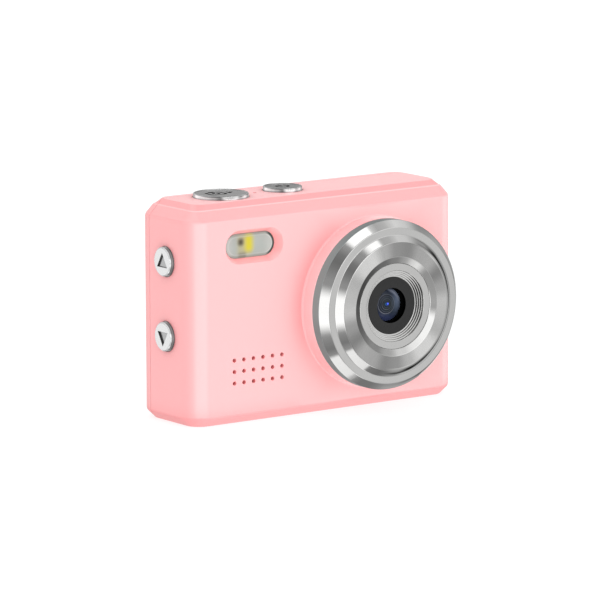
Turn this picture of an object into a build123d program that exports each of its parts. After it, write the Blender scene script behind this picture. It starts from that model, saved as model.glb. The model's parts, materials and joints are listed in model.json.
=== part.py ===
from build123d import *
import math
import os

# Compact digital camera, in millimetres.  The lens looks along -Y, +Z is up and +X is to the
# right when the lens faces the viewer.  The origin is the mouth of the tripod bush, in the
# middle of the underside.

# ---------------------------------------------------------------- driving dimensions
WIDTH, DEPTH, HEIGHT = 85.0, 25.5, 57.5     # body without lens and keys
WALL = 1.8
CORNER_R = 6.0                              # plan radius of the body corners
BASE_BEVEL = 2.2                            # bevel round the underside
SHOULDER_Z = 53.35                          # where the wall turns into the top bevel
LEDGE_LOW = (2.55, 55.95)                   # small ledge in the top bevel, as (inset, z)
LEDGE_HIGH = (2.93, 56.10)
TOP_INSET = 4.0                             # inset of the flat top
LEDGE_R, TOP_R = 2.4, 3.2                   # plan radii at the ledge and at the top edge
SPLIT_Y = 6.65                              # joint plane between front and rear shell
JOINT_GAP = 0.06                            # half gap at the joint

FRONT_Y, REAR_Y = -DEPTH / 2, DEPTH / 2     # outer faces
FRONT_IN_Y, REAR_IN_Y = FRONT_Y + WALL, REAR_Y - WALL
TOP_IN_Z = HEIGHT - WALL

LENS_X, LENS_Z = 14.55, 27.75
BOSS_R, BOSS_H = 22.5, 4.2                  # round boss of the front shell under the bezel
FOOT_R = 0.55                               # fillet at the foot of the boss
BEZEL_R = 22.4
BEZEL_SEAT_Y = FRONT_Y - 2.2                # inner face of the boss, seat of the bezel screws

FLASH_X, FLASH_Z = -23.0, 46.05
FLASH_MOUTH = (18.1, 8.8)                   # recess at the front face
FLASH_WINDOW = (15.3, 6.4)
FLASH_DEPTH = 2.0
FLANGE_EXTRA = (2.6, 2.4)                   # how much the rim behind the window is larger
FLASH_FLANGE = (FLASH_WINDOW[0] + FLANGE_EXTRA[0], FLASH_WINDOW[1] + FLANGE_EXTRA[1])

SPEAKER_X, SPEAKER_Z = -22.0, 13.75
GRILLE_PITCH, GRILLE_HOLE_R = 3.0, 0.56

RUN = 0.08                                  # radial running clearance of the keys
SHUTTER_X, SHUTTER_R, SHUTTER_RISE = -24.58, 7.22, 1.0
POWER_X, POWER_R, POWER_RISE = -5.06, 5.13, 1.08
MIC_X, MIC_HOLE_R = -13.95, 0.55
SIDE_KEY_Y, SIDE_KEY_R, SIDE_KEY_RISE = -0.82, 3.8, 1.17
SIDE_KEY_Z = {"up": 42.33, "down": 22.80}
REAR_KEY_X, REAR_KEY_R, REAR_KEY_RISE = -31.0, 3.8, 0.75
REAR_KEY_Z = {name: 42.0 - 9.6 * row for row, name in enumerate(("play", "menu", "ok", "mode"))}

DISPLAY_Y0, DISPLAY_Y1 = 8.0, 10.4
WINDOW = (-20.6, 35.4, 5.75, 47.75)         # rear window: x0, x1, z0, z1
VIEW = (-16.9, 32.1, 8.4, 45.1)             # visible area of the display, same columns
WINDOW_DEPTH = 1.25

BOARD_Y0, BOARD_Y1 = 5.0, 6.2               # main board
SENSOR_BOARD_Y0, SENSOR_BOARD_Y1 = -6.2, -5.2

USB_Y, USB_Z = 3.35, 33.0
CARD_Y, CARD_Z = 4.0, 18.5
STRAP_X, STRAP_Y = 41.0, -1.0               # axis of the wrist-strap pin

# screw places as (x, z)
CASE_SCREWS = [(-14.2, 50.6), (31.0, 50.6), (-33.8, 6.0)]
BOARD_POSTS = [(-23.6, 33.0), (36.5, 42.6), (36.5, 8.2), (-9.2, 6.2)]
SENSOR_POSTS = [(LENS_X + 12.7, LENS_Z + 12.7), (LENS_X - 12.7, LENS_Z - 12.7)]
BEZEL_SCREWS = [(LENS_X + 18.0 * math.cos(k * math.pi / 2),
                 LENS_Z + 18.0 * math.sin(k * math.pi / 2)) for k in range(4)]
CASE_SEAT_Y = 11.05                         # under the heads of the case screws
CASE_BORE_R, CASE_CLEAR_R = 1.02, 1.1       # thread bore and clearance, case and bezel screws
BOARD_BORE_R, BOARD_CLEAR_R = 0.87, 0.95    # the same for the board screws


# ---------------------------------------------------------------- helpers
def box(x0, x1, y0, y1, z0, z1):
    return Pos((x0 + x1) / 2, (y0 + y1) / 2, (z0 + z1) / 2) * Box(x1 - x0, y1 - y0, z1 - z0)


def block(x, z, half_x, half_z, y0, y1):
    """Box centred on (x, z)."""
    return box(x - half_x, x + half_x, y0, y1, z - half_z, z + half_z)


def slab(y0, y1):
    """Everything between two Y planes, larger than the body."""
    return box(-50, 50, y0, y1, -1, 60)


def rod_x(y, z, radius, x0, x1):
    return Pos((x0 + x1) / 2, y, z) * Rot(0, 90, 0) * Cylinder(radius, x1 - x0)


def rod_y(x, z, radius, y0, y1):
    return Pos(x, (y0 + y1) / 2, z) * Rot(90, 0, 0) * Cylinder(radius, y1 - y0)


def rod_z(x, y, radius, z0, z1):
    return Pos(x, y, (z0 + z1) / 2) * Cylinder(radius, z1 - z0)


def circles(shape, axis):
    """Circular edges, sorted along the axis."""
    return shape.edges().filter_by(GeomType.CIRCLE).sort_by(axis)


def turned(x, z, points):
    """Revolve (radius, height in front of the front face) points about the Y line at (x, z)."""
    face = make_face(Polyline(*[(r, FRONT_Y - h) for r, h in points], close=True))
    return Pos(x, 0, z) * revolve(face, axis=Axis.Y, revolution_arc=360)


def xz_plane(x, y, z):
    """Sketch plane with its axes along X and Z, facing the front."""
    return Plane(origin=(x, y, z), x_dir=(1, 0, 0), z_dir=(0, -1, 0))


def plate(sketch, y0, y1, x, z):
    """Extrude an X-Z sketch between y0 and y1."""
    return extrude(xz_plane(x, y1, z) * sketch, amount=y1 - y0)


def rounded_plate(area, extra, radius, y0, y1):
    """Rounded plate over an (x0, x1, z0, z1) area, larger by extra in both directions."""
    x0, x1, z0, z1 = area
    outline = RectangleRounded(x1 - x0 + extra, z1 - z0 + extra, radius)
    return plate(outline, y0, y1, (x0 + x1) / 2, (z0 + z1) / 2)


def softened(points, size):
    """Replace each inner corner of an open polyline by three points on a small round."""
    out = [points[0]]
    for a, b, c in zip(points, points[1:], points[2:]):
        to_a, to_c = math.dist(a, b), math.dist(c, b)
        cut = min(size, to_a * 0.4, to_c * 0.4)
        p = (b[0] + (a[0] - b[0]) / to_a * cut, b[1] + (a[1] - b[1]) / to_a * cut)
        q = (b[0] + (c[0] - b[0]) / to_c * cut, b[1] + (c[1] - b[1]) / to_c * cut)
        middle = (0.25 * p[0] + 0.5 * b[0] + 0.25 * q[0], 0.25 * p[1] + 0.5 * b[1] + 0.25 * q[1])
        out += [p, middle, q]
    out.append(points[-1])
    return out


def screw(x, z, seat_y, length, radius, head_radius, head_height, tip):
    """Cross-recess pan-head screw, head towards +Y; seat_y is the underside of the head."""
    top_y = seat_y + head_height
    body = rod_y(x, z, head_radius, seat_y, top_y)
    body = fillet(circles(body, Axis.Y)[-1], head_height * 0.45)
    tip_y = seat_y - length
    body += rod_y(x, z, radius, tip_y + tip, seat_y)
    body += Pos(x, tip_y + tip / 2, z) * Rot(90, 0, 0) * Cone(radius, radius * 0.35, tip)
    long, short = head_radius * 0.62, head_radius * 0.24
    for half_x, half_z in ((long, short), (short, long)):
        body -= block(x, z, half_x, half_z, seat_y + head_height * 0.45, top_y + 1)
    return body


# ---------------------------------------------------------------- body outline
def inner_radius(inset, z):
    return max(CORNER_R - inset, 0.5)


def outer_radius(inset, z):
    """Plan radius of the outside, interpolated between marks of (z, radius)."""
    marks = [(0.0, CORNER_R - BASE_BEVEL), (BASE_BEVEL, CORNER_R), (SHOULDER_Z, CORNER_R),
             (LEDGE_LOW[1], LEDGE_R), (LEDGE_HIGH[1], LEDGE_R), (HEIGHT, TOP_R)]
    for (z0, r0), (z1, r1) in zip(marks, marks[1:]):
        if z <= z1 + 1e-9:
            return r0 + (r1 - r0) * (z - z0) / (z1 - z0)


def stack(profile, radius_at=inner_radius):
    """Rounded-rectangle body through (inset, z) pairs: walls extruded, slopes ruled."""
    def section(inset, z):
        outline = RectangleRounded(WIDTH - 2 * inset, DEPTH - 2 * inset, radius_at(inset, z))
        return (Pos(0, 0, z) * outline).faces()[0]

    pieces, run = [], [profile[0]]
    for low, high in zip(profile, profile[1:]):
        if abs(low[0] - high[0]) < 1e-6:
            if len(run) > 1:
                pieces.append(loft([section(*mark) for mark in run], ruled=True))
            pieces.append(extrude(section(*low), amount=high[1] - low[1], dir=(0, 0, 1)))
            run = [high]
        else:
            run.append(high)
    if len(run) > 1:
        pieces.append(loft([section(*mark) for mark in run], ruled=True))
    solid = pieces[0]
    for piece in pieces[1:]:
        solid = solid + piece
    return solid


def inner_profile(offset):
    """Body outline moved inwards, as (inset, z) pairs; the top bevel is taken as one plane."""
    rise = HEIGHT - SHOULDER_Z
    slope = math.hypot(TOP_INSET, rise)
    # lines a * inset + b * z = c: underside, base bevel, wall, top bevel, top
    lines = [(0, 1, offset),
             (1, 1, BASE_BEVEL + offset * math.sqrt(2)),
             (1, 0, offset),
             (rise / slope, -TOP_INSET / slope, -TOP_INSET / slope * SHOULDER_Z + offset),
             (0, 1, HEIGHT - offset)]
    points = []
    for (a, b, c), (d, e, f) in zip(lines, lines[1:]):
        det = a * e - b * d
        points.append(((c * e - b * f) / det, (a * f - c * d) / det))
    return points


OUTER_PROFILE = softened([(BASE_BEVEL, 0.0), (0.0, BASE_BEVEL), (0.0, SHOULDER_Z),
                          LEDGE_LOW, LEDGE_HIGH, (TOP_INSET, HEIGHT)], 0.45)
CAVITY = stack(inner_profile(WALL))
BODY = stack(OUTER_PROFILE, outer_radius) - CAVITY


# ---------------------------------------------------------------- flash
def flash_slot(size, y, extra=0.0):
    """Slot-shaped face on the flash axis."""
    outline = SlotOverall(size[0] + extra, size[1] + extra)
    return (xz_plane(FLASH_X, y, FLASH_Z) * outline).faces()[0]


def flash_plate(size, y0, y1):
    """Slot-shaped plate; y0 and y1 are depths behind the front face."""
    return plate(SlotOverall(*size), FRONT_Y + y0, FRONT_Y + y1, FLASH_X, FLASH_Z)


def flash_window():
    window = flash_plate(FLASH_WINDOW, FLASH_DEPTH, 2.8)
    window = fillet(window.faces().sort_by(Axis.Y)[0].edges(), 0.25)
    return window + flash_plate(FLASH_FLANGE, 2.8, 3.4)


def flash_reflector():
    front_face = flash_slot((FLASH_WINDOW[0] + 1.2, FLASH_WINDOW[1] + 1.0), FRONT_Y + 3.38)
    rear_face = flash_slot(FLASH_WINDOW, FRONT_Y + 4.62, -0.6)
    return flash_plate(FLASH_FLANGE, 3.4, 4.6) - loft([front_face, rear_face], ruled=True)


def flash_led():
    led = block(-22.2, 46.1, 1.35, 1.9, FRONT_Y + 3.75, FRONT_Y + 4.6)
    return fillet(led.edges().filter_by(Axis.Y), 0.3)


def focus_lamp():
    lamp = rod_y(-24.9, 46.8, 0.75, FRONT_Y + 3.9, FRONT_Y + 4.6)
    return fillet(circles(lamp, Axis.Y)[0], 0.3)


# ---------------------------------------------------------------- sockets and tripod bush
def usb_slot(width, height, x0, length):
    """Slot-shaped bar on the USB axis, its long side along Z."""
    plane = Plane(origin=(x0, USB_Y, USB_Z), x_dir=(0, 0, 1), z_dir=(1, 0, 0))
    return extrude(plane * SlotOverall(width, height), amount=length)


def usb_socket():
    mouth = usb_slot(8.35, 2.56, 35.5, 8)
    socket = usb_slot(8.95, 3.2, 34.8, 7.3) - mouth
    for z in (USB_Z - 3.7, USB_Z + 3.7):           # lugs down to the main board
        socket += box(35.2, 40.4, USB_Y + 1.4, BOARD_Y0, z - 0.7, z + 0.7)
    return socket - mouth


def card_block(x0, x1, half_y, half_z):
    return box(x0, x1, CARD_Y - half_y, CARD_Y + half_y, CARD_Z - half_z, CARD_Z + half_z)


def card_socket():
    socket = box(26.2, 40.6, CARD_Y - 0.95, BOARD_Y0, CARD_Z - 7.0, CARD_Z + 7.0)
    return socket - card_block(26.5, 41, 0.65, 5.65)


def memory_card():
    return fillet(card_block(27.3, 42.3, 0.55, 5.5).edges().filter_by(Axis.Y), 0.6)


def tripod_bush():
    bush = rod_z(0, 0, 4.2, 0.9, 7.4) + rod_z(0, 0, 3.8, 0.0, 1.2)
    for z in (2.6, 4.6):                           # grooves round the outside
        bush -= rod_z(0, 0, 6.0, z, z + 0.7) - rod_z(0, 0, 3.85, 0, 9)
    return bush - rod_z(0, 0, 2.55, -1, 6.4)


# ---------------------------------------------------------------- front shell
def with_lens_boss(shell):
    """Round boss with a soft foot, hollow behind, open for the lens."""
    outline = [(0.0, -1.0), (BOSS_R + FOOT_R, -1.0)]
    for k in range(9):
        angle = math.radians(90 * k / 8)
        outline.append((BOSS_R + FOOT_R * (1 - math.sin(angle)), FOOT_R * (1 - math.cos(angle))))
    outline += [(BOSS_R, BOSS_H - 0.15), (BOSS_R - 0.15, BOSS_H), (0.0, BOSS_H)]
    shell += turned(LENS_X, LENS_Z, outline)
    shell -= rod_y(LENS_X, LENS_Z, BOSS_R - WALL, BEZEL_SEAT_Y, FRONT_IN_Y + 0.5)
    shell -= rod_y(LENS_X, LENS_Z, 15.5, FRONT_Y - 6, FRONT_IN_Y)
    for x, z in BEZEL_SCREWS:
        shell -= rod_y(x, z, CASE_CLEAR_R, FRONT_Y - 5, FRONT_Y - 2)
    return shell


def with_flash_recess(shell):
    """Recess with sloped walls down to the window, and a rim behind it."""
    rim = (FLASH_MOUTH[0] + FLANGE_EXTRA[0], FLASH_MOUTH[1] + FLANGE_EXTRA[1])
    shell += flash_plate(rim, WALL - 0.3, 2.8)
    mouth = flash_slot(FLASH_MOUTH, FRONT_Y - 0.02)
    bottom = flash_slot(FLASH_WINDOW, FRONT_Y + FLASH_DEPTH, 0.1)
    shell -= loft([mouth, bottom], ruled=True)
    return shell - flash_plate((FLASH_WINDOW[0] + 0.1, FLASH_WINDOW[1] + 0.1), 0, 4)


def with_grille(shell):
    """Six by three sound holes inside the collar that holds the speaker."""
    shell += (rod_y(SPEAKER_X, SPEAKER_Z, 11.2, FRONT_IN_Y - 0.3, FRONT_IN_Y + 3.4)
              - rod_y(SPEAKER_X, SPEAKER_Z, 10.15, FRONT_IN_Y - 1, FRONT_IN_Y + 5))
    return shell - [rod_y(SPEAKER_X + (i - 2.5) * GRILLE_PITCH,
                          SPEAKER_Z + (j - 1) * GRILLE_PITCH,
                          GRILLE_HOLE_R, FRONT_Y - 1, FRONT_IN_Y + 1)
                    for i in range(6) for j in range(3)]


def with_posts(shell):
    """Screw posts, ribs for the key boards and the seat of the tripod bush."""
    root_y, post_end_y = FRONT_IN_Y - 0.4, SPLIT_Y - JOINT_GAP
    for x, z in BOARD_POSTS:
        shell += (rod_y(x, z, 2.0, root_y, BOARD_Y0)
                  - rod_y(x, z, BOARD_BORE_R, BOARD_Y0 - 6, BOARD_Y0 + 1))
    for x, z in SENSOR_POSTS:
        shell += (rod_y(x, z, 2.0, FRONT_Y - 2.4, SENSOR_BOARD_Y0)
                  - rod_y(x, z, BOARD_BORE_R, SENSOR_BOARD_Y0 - 5.5, SENSOR_BOARD_Y0 + 0.2))
    for x, z in CASE_SCREWS[1:]:
        shell += (rod_y(x, z, 2.2, root_y, post_end_y)
                  - rod_y(x, z, CASE_BORE_R, -2.0, SPLIT_Y + 1))
    # the first case post is short and hangs from the top wall by a rib
    x, z = CASE_SCREWS[0]
    rib = box(x - 0.9, x + 0.9, 3.4, SPLIT_Y - 1.7, z + 1.4, TOP_IN_Z + 0.3)
    shell += ((rod_y(x, z, 2.2, 1.2, post_end_y) + rib)
              - rod_y(x, z, CASE_BORE_R, 0.0, SPLIT_Y + 1))
    # shelf ribs for the top key board, slotted ribs for the side key board
    rib_y = FRONT_IN_Y - 0.3
    for x0, x1 in ((-12.6, -8.6), (-35.0, -33.4)):
        shell += box(x0, x1, rib_y, -2.0, 44.6, 47.6)
    for z in (19.0, 33.5):
        shell += (box(-38.2, -34.0, rib_y, -4.4, z, z + 2.2)
                  - box(-36.65, -35.55, -5.6, 0, z - 1, z + 4))
    shell += rod_z(0, 0, 5.7, WALL - 0.3, 8.4) & box(-10, 10, -10, 4.9, 0, 10)
    return shell - (rod_z(0, 0, 4.25, 0.9, 9.0) + rod_z(0, 0, 3.85, -1, 2))


def top_key_hole(x, radius):
    return rod_z(x, 0, radius + RUN, TOP_IN_Z - 1.5, 60)


def with_openings(shell):
    """Openings for keys, microphone, wrist strap, USB plug and memory card."""
    for x, radius in ((SHUTTER_X, SHUTTER_R), (POWER_X, POWER_R)):
        shell -= top_key_hole(x, radius)
    shell -= rod_z(MIC_X, 0, MIC_HOLE_R, TOP_IN_Z - 0.5, 60)
    for z in SIDE_KEY_Z.values():
        shell -= rod_x(SIDE_KEY_Y, z, SIDE_KEY_R + RUN, -44, -40.2)
    # strap pocket in the +X wall, with sockets for the ends of the pin
    shell += box(37.7, 42.0, -4.7, 2.7, 45.3, 52.7) & stack(inner_profile(0.6))
    shell -= box(38.9, 44.0, -3.5, 1.5, 46.5, 51.5)
    shell -= rod_z(STRAP_X, STRAP_Y, 0.82, 45.75, 52.25)
    shell -= usb_slot(9.5, 3.7, 39.5, 5)
    shell -= card_block(39.5, 44, 0.85, 5.9)
    return shell - rod_x(CARD_Y, CARD_Z, 4.2, 41.9, 44)


def front_shell():
    shell = BODY & slab(-20, SPLIT_Y - JOINT_GAP)
    # rebate for the tongue of the rear shell
    shell -= stack(inner_profile(0.95)) & slab(SPLIT_Y - 1.65, SPLIT_Y + 1)
    for add_feature in (with_lens_boss, with_flash_recess, with_grille, with_posts,
                        with_openings):
        shell = add_feature(shell)
    return shell


# ---------------------------------------------------------------- rear shell
def rear_shell():
    shell = BODY & slab(SPLIT_Y + JOINT_GAP, 20)
    tongue = stack(inner_profile(1.02)) - CAVITY
    shell += tongue & slab(SPLIT_Y - 1.5, SPLIT_Y + JOINT_GAP + 0.5)
    for x, radius in ((SHUTTER_X, SHUTTER_R), (POWER_X, POWER_R)):
        shell -= top_key_hole(x, radius)
    shell -= rounded_plate(WINDOW, 0.1, 2.05, REAR_Y - WINDOW_DEPTH, REAR_Y + 1)
    shell -= rounded_plate(VIEW, 1.6, 0.8, REAR_IN_Y - 2, REAR_Y + 1)
    for z in REAR_KEY_Z.values():
        shell -= rod_y(REAR_KEY_X, z, REAR_KEY_R + RUN, REAR_IN_Y - 1, REAR_Y + 1)
    for x, z in CASE_SCREWS:
        shell += rod_y(x, z, 2.2, SPLIT_Y + JOINT_GAP, REAR_IN_Y + 0.3)
        shell -= (rod_y(x, z, CASE_CLEAR_R, 5, REAR_Y + 1)
                  + rod_y(x, z, 1.95, CASE_SEAT_Y, REAR_Y + 1))
    return shell


# ---------------------------------------------------------------- lens
# Outlines are (radius, height in front of the front face).
def bezel_ring():
    face = softened([(15.45, BOSS_H), (BEZEL_R, BOSS_H), (BEZEL_R, 6.95), (20.57, 9.05),
                     (18.60, 9.05), (16.96, 10.70), (13.10, 10.70), (11.35, 10.05),
                     (11.35, 6.0)], 0.11)
    ring = turned(LENS_X, LENS_Z, [(15.45, 2.6)] + face + [(13.5, 6.0), (13.5, 2.6)])
    for x, z in BEZEL_SCREWS:
        ring -= rod_y(x, z, CASE_BORE_R, FRONT_Y - 7.2, FRONT_Y - 4.0)
    return ring


def threaded_ring():
    outline = [(11.30, 5.95), (11.30, 9.97), (11.24, 10.03), (9.42, 10.03), (9.34, 9.95)]
    radius, height = outline[-1]
    for _ in range(4):                             # coarse thread in the mouth of the ring
        outline += [(radius - 0.04, height - 0.30), (radius + 0.05, height - 0.36),
                    (radius - 0.38, height - 0.36)]
        radius -= 0.44
        height -= 0.36
        outline.append((radius, height - 0.03))
    outline += [(7.53, 8.45), (7.53, 3.6), (13.4, 3.6), (13.4, 5.95)]
    return turned(LENS_X, LENS_Z, outline)


def trim_ring():
    return turned(LENS_X, LENS_Z, [(4.57, 7.5), (4.57, 8.42), (4.65, 8.5), (7.42, 8.5),
                                   (7.49, 8.43), (7.49, 7.5)])


def lens_barrel():
    outline = [(4.57, 7.48), (7.2, 7.48), (7.2, 4.25), (5.95, 4.25)]
    for turn in range(7):                          # focusing thread
        height = 4.25 - 0.5 * turn
        outline += [(5.70, height - 0.25), (5.95, height - 0.50)]
    outline += [(5.95, -4.45), (3.45, -4.45), (3.45, -2.4), (1.9, -2.4), (1.9, 0.2),
                (3.45, 0.2), (3.45, 2.4), (3.9, 2.6), (3.9, 4.85), (4.42, 4.85),
                (4.42, 6.6), (4.57, 6.7)]
    return turned(LENS_X, LENS_Z, outline)


def dome(radius, edge, sag, steps=10):
    """Points of a spherical cap, from its rim (radius, edge) to its vertex on the axis."""
    sphere = (radius * radius + sag * sag) / (2 * abs(sag))
    points = []
    for k in range(steps + 1):
        r = radius * (1 - k / steps)
        rise = math.sqrt(sphere * sphere - r * r) - (sphere - abs(sag))
        points.append((r, edge + math.copysign(rise, sag)))
    return points


def lens_element(rear_cap, front_cap):
    return turned(LENS_X, LENS_Z, rear_cap[::-1] + front_cap)


def lens_holder():
    holder = (rod_y(LENS_X, LENS_Z, 8.0, -15.0, -9.0)
              + block(LENS_X, LENS_Z, 9, 9, -9.2, SENSOR_BOARD_Y0))
    holder -= rod_y(LENS_X, LENS_Z, 6.0, -16, -8.2)
    # stepped square opening: half width, y0, y1
    for half, y0, y1 in ((3.4, -9, -7.5), (4.25, -7.9, -7.0), (4.9, -7.6, -6.0)):
        holder -= block(LENS_X, LENS_Z, half, half, y0, y1)
    return holder


def image_sensor():
    return (block(LENS_X, LENS_Z, 3.9, 3.6, -7.1, SENSOR_BOARD_Y0)
            - block(LENS_X, LENS_Z, 2.6, 2.0, -7.2, -7.0))


def sensor_board():
    board = plate(RectangleRounded(30, 30, 2.0), SENSOR_BOARD_Y0, SENSOR_BOARD_Y1,
                  LENS_X, LENS_Z)
    for x, z in SENSOR_POSTS:
        board -= rod_y(x, z, BOARD_CLEAR_R, -7, -5)
    return board


# ---------------------------------------------------------------- sound
def speaker():
    body = (rod_y(SPEAKER_X, SPEAKER_Z, 10.0, FRONT_IN_Y + 0.2, FRONT_IN_Y + 2.4)
            + rod_y(SPEAKER_X, SPEAKER_Z, 6.5, FRONT_IN_Y + 2.4, FRONT_IN_Y + 4.4))
    cone = [(0, -2.0), (8.6, -2.0), (8.6, -2.4), (3.2, -3.2), (2.4, -2.9), (0, -2.7)]
    return body - turned(SPEAKER_X, SPEAKER_Z, cone)


def microphone():
    return (rod_z(MIC_X, 0, 2.0, 53.5, TOP_IN_Z)
            - rod_z(MIC_X, 0, MIC_HOLE_R, TOP_IN_Z - 1.0, HEIGHT))


# ---------------------------------------------------------------- top keys
TOP_STEM_Z = 53.6                           # lower end of the key stems
ENGRAVING = 0.42                            # depth of the signs below the key top


def top_key(x, radius, rise, ear_radius, ear_half_y, rim):
    """Round key with ears under the top wall, a stem and a shallow face inside its rim."""
    top = HEIGHT + rise
    key = rod_z(x, 0, radius, TOP_IN_Z - 0.1, top)
    key = fillet(circles(key, Axis.Z)[-1], 0.22)
    key += (rod_z(x, 0, ear_radius, TOP_IN_Z - 0.8, TOP_IN_Z - 0.05)
            & box(-60, 60, -ear_half_y, ear_half_y, 50, 60))
    key += rod_z(x, 0, 2.5, TOP_STEM_Z, TOP_IN_Z - 0.7)
    return key - rod_z(x, 0, radius - rim, top - 0.12, top + 1)


def shutter_button():
    key = top_key(SHUTTER_X, SHUTTER_R, SHUTTER_RISE, ear_radius=8.3, ear_half_y=6.6, rim=0.5)
    # engraved still camera and motion triangle
    sign = RectangleRounded(5.0, 4.6, 0.8) - RectangleRounded(3.6, 3.2, 0.5)
    sign = sign + (Circle(1.15) - Circle(0.45))
    sign += Pos(0, 2.6) * Rectangle(1.8, 0.9)
    sign = Pos(-1.5, 0) * sign + Polygon((1.9, 1.5), (1.9, -1.5), (3.9, 0.0), align=None)
    return key - Pos(SHUTTER_X, 0.0, HEIGHT + SHUTTER_RISE - ENGRAVING) * extrude(sign, amount=1)


def power_button():
    key = top_key(POWER_X, POWER_R, POWER_RISE, ear_radius=6.4, ear_half_y=4.9, rim=0.45)
    top = HEIGHT + POWER_RISE
    ring = Circle(1.95) - Circle(1.25) - Pos(0, 1.5) * Rectangle(1.9, 2.0)
    bar = box(POWER_X - 0.35, POWER_X + 0.35, 0.2, 2.4, top - ENGRAVING, top + 1)
    return key - (Pos(POWER_X, 0, top - ENGRAVING) * extrude(ring, amount=1) + bar)


def top_plunger(x):
    return rod_z(x, 0, 1.7, 50.7, TOP_STEM_Z)


def top_switch(x):
    return box(x - 3, x + 3, -3, 3, 48.6, 52.0) - rod_z(x, 0, 1.8, 50.0, 53)


def top_key_board():
    return box(-34.2, 1.6, -5.0, 5.0, 47.6, 48.6) - box(-16.9, -11.5, 0.9, 6, 47, 49)


# ---------------------------------------------------------------- side keys, in the -X wall
SIDE_SIGNS = {
    "up": ((-2.26, -1.40), (2.26, -1.40), (0.0, 2.39)),
    "down": ((-2.26, 1.24), (0.0, -2.53), (2.26, 1.24)),
}


def side_key(name, z):
    face_x = -WIDTH / 2 - SIDE_KEY_RISE
    key = rod_x(SIDE_KEY_Y, z, SIDE_KEY_R, face_x, -40.6)
    key = chamfer(circles(key, Axis.X)[0], 0.28)
    key += rod_x(SIDE_KEY_Y, z, 4.7, -40.6, -39.9) + rod_x(SIDE_KEY_Y, z, 1.6, -40.0, -39.0)
    plane = Plane(origin=(face_x + 0.45, SIDE_KEY_Y, z), x_dir=(0, -1, 0), z_dir=(-1, 0, 0))
    return key - extrude(plane * Polygon(*SIDE_SIGNS[name], align=None), amount=1.5)


def side_switch(z):
    return (box(-38.5, -36.6, SIDE_KEY_Y - 2.25, SIDE_KEY_Y + 2.25, z - 2.25, z + 2.25)
            - rod_x(SIDE_KEY_Y, z, 1.1, -39, -37.2))


# ---------------------------------------------------------------- rear keys
REAR_STEM_Y = 8.9                           # front end of the key stems
REAR_SIGNS = {
    "play": Polygon((-1.1, -1.5), (1.6, 0.0), (-1.1, 1.5), align=None),
    "menu": (Rectangle(3.0, 0.5) + Pos(0, 1.1) * Rectangle(3.0, 0.5)
             + Pos(0, -1.1) * Rectangle(3.0, 0.5)),
    "ok": Circle(1.5) - Circle(1.0),
    "mode": Rectangle(3.0, 3.0) - Rectangle(2.1, 2.1),
}


def rear_key(name, z):
    face_y = REAR_Y + REAR_KEY_RISE
    key = rod_y(REAR_KEY_X, z, REAR_KEY_R, REAR_IN_Y - 0.1, face_y)
    key = fillet(circles(key, Axis.Y)[-1], 0.35)
    key += (rod_y(REAR_KEY_X, z, 4.6, REAR_IN_Y - 0.8, REAR_IN_Y - 0.1)
            + rod_y(REAR_KEY_X, z, 1.6, REAR_STEM_Y, REAR_IN_Y - 0.7))
    plane = Plane(origin=(REAR_KEY_X, face_y - 0.25, z), x_dir=(-1, 0, 0), z_dir=(0, 1, 0))
    return key - extrude(plane * REAR_SIGNS[name], amount=1)


def rear_switch(z):
    return (block(REAR_KEY_X, z, 2.25, 2.25, BOARD_Y1, 8.1)
            - rod_y(REAR_KEY_X, z, 1.1, 6.9, 9))


# ---------------------------------------------------------------- board, battery, display
def main_board():
    board = box(-38.5, 39.5, BOARD_Y0, BOARD_Y1, 4.2, 46.0)
    board = fillet(board.edges().filter_by(Axis.Y), 2.0)
    board -= box(-40, -31.0, 4, 7, 0, 8.9)
    for x, z in BOARD_POSTS:
        board -= rod_y(x, z, BOARD_CLEAR_R, 4, 7)
    return board


def image_processor():
    return (box(-24, -12.2, 3.8, BOARD_Y0, 8.6, 20.0)
            - box(-23.2, -22.4, 3.7, 3.9, 18.6, 19.4))


def battery():
    return fillet(box(-10.4, 23.6, -1.0, 4.0, 11.4, 41.4).edges().filter_by(Axis.Z), 1.6)


def display_module():
    module = box(-22.80, 37.46, DISPLAY_Y0, DISPLAY_Y1, 5.40, 48.12)
    module = fillet(module.edges().filter_by(Axis.Y), 0.8)
    return module - box(VIEW[0], VIEW[1], DISPLAY_Y1 - 0.15, DISPLAY_Y1 + 1, VIEW[2], VIEW[3])


def display_gasket():
    frame = Rectangle(54, 41) - Rectangle(50.6, 38.2)
    return plate(frame, DISPLAY_Y1, REAR_IN_Y, (VIEW[0] + VIEW[1]) / 2, (VIEW[2] + VIEW[3]) / 2)


def display_window():
    window = rounded_plate(WINDOW, 0, 2.0, REAR_Y - WINDOW_DEPTH, REAR_Y - 0.05)
    return chamfer(window.faces().sort_by(Axis.Y)[-1].edges(), 0.2)


def ribbon(path, z0, z1, thickness=0.2):
    """Flat flex cable: a mitred X-Y path, as wide as z0 to z1."""
    normals = []
    for start, end in zip(path, path[1:]):
        length = math.dist(start, end)
        normals.append((-(end[1] - start[1]) / length, (end[0] - start[0]) / length))
    left, right = [], []
    for (x, y), before, after in zip(path, normals[:1] + normals, normals + normals[-1:]):
        across_x, across_y = before[0] + after[0], before[1] + after[1]
        reach = thickness / 2 / (across_x * before[0] + across_y * before[1])
        left.append((x + across_x * reach, y + across_y * reach))
        right.append((x - across_x * reach, y - across_y * reach))
    face = make_face(Polyline(*(left + right[::-1]), close=True))
    return Pos(0, 0, z0) * extrude(face, amount=z1 - z0)


# ---------------------------------------------------------------- fasteners
CASE_SCREW = dict(length=9.6, radius=1.0, head_radius=1.75, head_height=1.2, tip=0.8)
BOARD_SCREW = dict(length=6.2, radius=0.85, head_radius=1.5, head_height=1.0, tip=0.5)
BEZEL_SCREW = dict(length=4.6, radius=1.0, head_radius=1.7, head_height=1.1, tip=0.4)


def screws(places, seat_y, size):
    return [screw(x, z, seat_y, **size) for x, z in places]


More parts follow.
